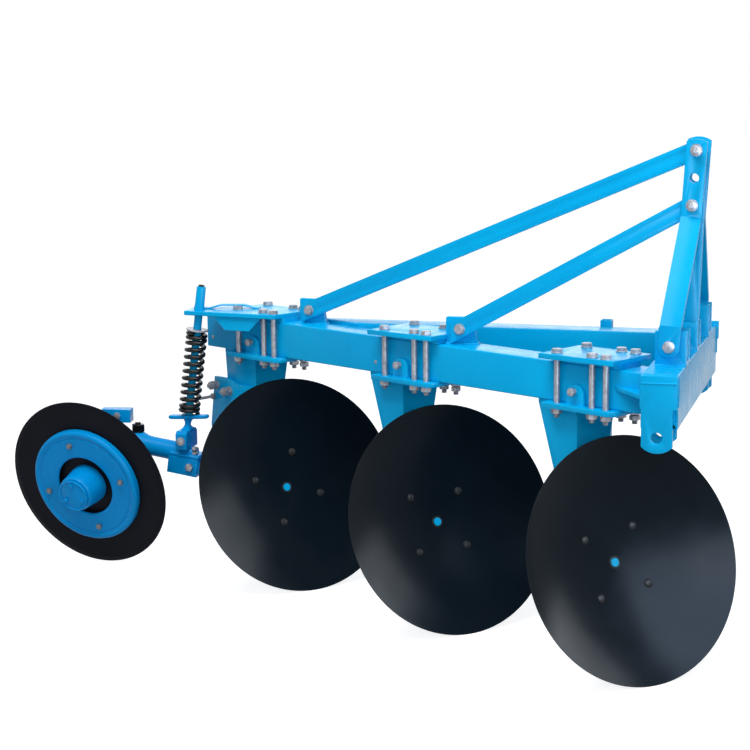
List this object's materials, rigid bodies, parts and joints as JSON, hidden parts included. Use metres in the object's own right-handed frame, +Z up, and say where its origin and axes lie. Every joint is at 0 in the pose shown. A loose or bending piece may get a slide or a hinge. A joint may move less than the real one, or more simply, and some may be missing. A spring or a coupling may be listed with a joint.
{
  "type": "disc plough",
  "caption": "Mounted disc plough: angled beam with clamped legs carrying dished discs, cross beam with three-point hitch, mast and stays, and a sprung furrow wheel behind.",
  "frame": {"origin": "on the ground under the middle of the outline in plan", "axes": "+X forward in the direction of travel along the longest extent, +Y to the left, +Z up"},
  "size_m": [2.3684, 1.1451, 1.3961],
  "materials": {
    "blue_paint": "gloss blue enamel",
    "disc_steel": "satin black paint with a blue cast",
    "wheel_steel": "satin black paint",
    "spring_steel": "black lacquer",
    "zinc_steel": "zinc plated"
  },
  "bodies": {
    "frame": {"main_beam": "blue_paint", "cross_beam": "blue_paint", "brace_beam": "blue_paint", "corner_gusset": "blue_paint", "lower_link_right": "blue_paint", "lower_link_left": "blue_paint", "link_lug_right": "blue_paint", "link_lug_left": "blue_paint", "mast_foot_right": "blue_paint", "mast_foot_left": "blue_paint", "mast_foot_mid": "blue_paint", "mast_leg_right": "blue_paint", "mast_leg_left": "blue_paint", "mast_strut": "blue_paint", "mast_bolts": "zinc_steel", "stay_long": "blue_paint", "stay_short": "blue_paint", "stay_brackets": "blue_paint", "stay_bolts": "zinc_steel", "clamp_plate_front": "blue_paint", "clamp_plate_mid": "blue_paint", "clamp_plate_rear": "blue_paint", "clamp_bolts_front": "zinc_steel", "clamp_bolts_mid": "zinc_steel", "clamp_bolts_rear": "zinc_steel", "disc_leg_front": "blue_paint", "disc_leg_mid": "blue_paint", "disc_leg_rear": "blue_paint", "housing_front": "blue_paint", "housing_mid": "blue_paint", "housing_rear": "blue_paint", "stand_socket": "blue_paint", "wheel_bracket": "blue_paint", "wheel_arm": "blue_paint", "arm_bolts": "zinc_steel", "wheel_axle": "blue_paint", "scraper_box": "blue_paint", "spring_rod": "blue_paint", "spring_washer": "zinc_steel", "spring": "spring_steel", "spring_seat": "blue_paint"},
    "disc_front_unit": {"disc_front": "disc_steel", "disc_hub_front": "blue_paint"},
    "disc_mid_unit": {"disc_mid": "disc_steel", "disc_hub_mid": "blue_paint"},
    "disc_rear_unit": {"disc_rear": "disc_steel", "disc_hub_rear": "blue_paint"},
    "furrow_wheel": {"wheel_disc": "wheel_steel", "wheel_flange": "blue_paint", "wheel_hub": "blue_paint"},
    "parking_stand": {"stand_leg": "blue_paint"}
  },
  "joints": [
    {"name": "disc_front_spin", "type": "hinge", "parent": "frame", "child": "disc_front_unit", "pos_m": [0.93904, -0.32883, 0.31396], "axis": [0.6694, -0.6741, 0.3123], "continuous": true},
    {"name": "disc_mid_spin", "type": "hinge", "parent": "frame", "child": "disc_mid_unit", "pos_m": [0.37412, -0.02592, 0.31396], "axis": [0.6694, -0.6741, 0.3123], "continuous": true},
    {"name": "disc_rear_spin", "type": "hinge", "parent": "frame", "child": "disc_rear_unit", "pos_m": [-0.19079, 0.27698, 0.31396], "axis": [0.6694, -0.6741, 0.3123], "continuous": true},
    {"name": "furrow_wheel_spin", "type": "hinge", "parent": "frame", "child": "furrow_wheel", "pos_m": [-0.90596, 0.29257, 0.27347], "axis": [-0.1453, -0.961, -0.2351], "continuous": true},
    {"name": "parking_stand_slide", "type": "slide", "parent": "frame", "child": "parking_stand", "axis": [0, 0, 1], "range_m": [0, 0.35]}
  ]
}
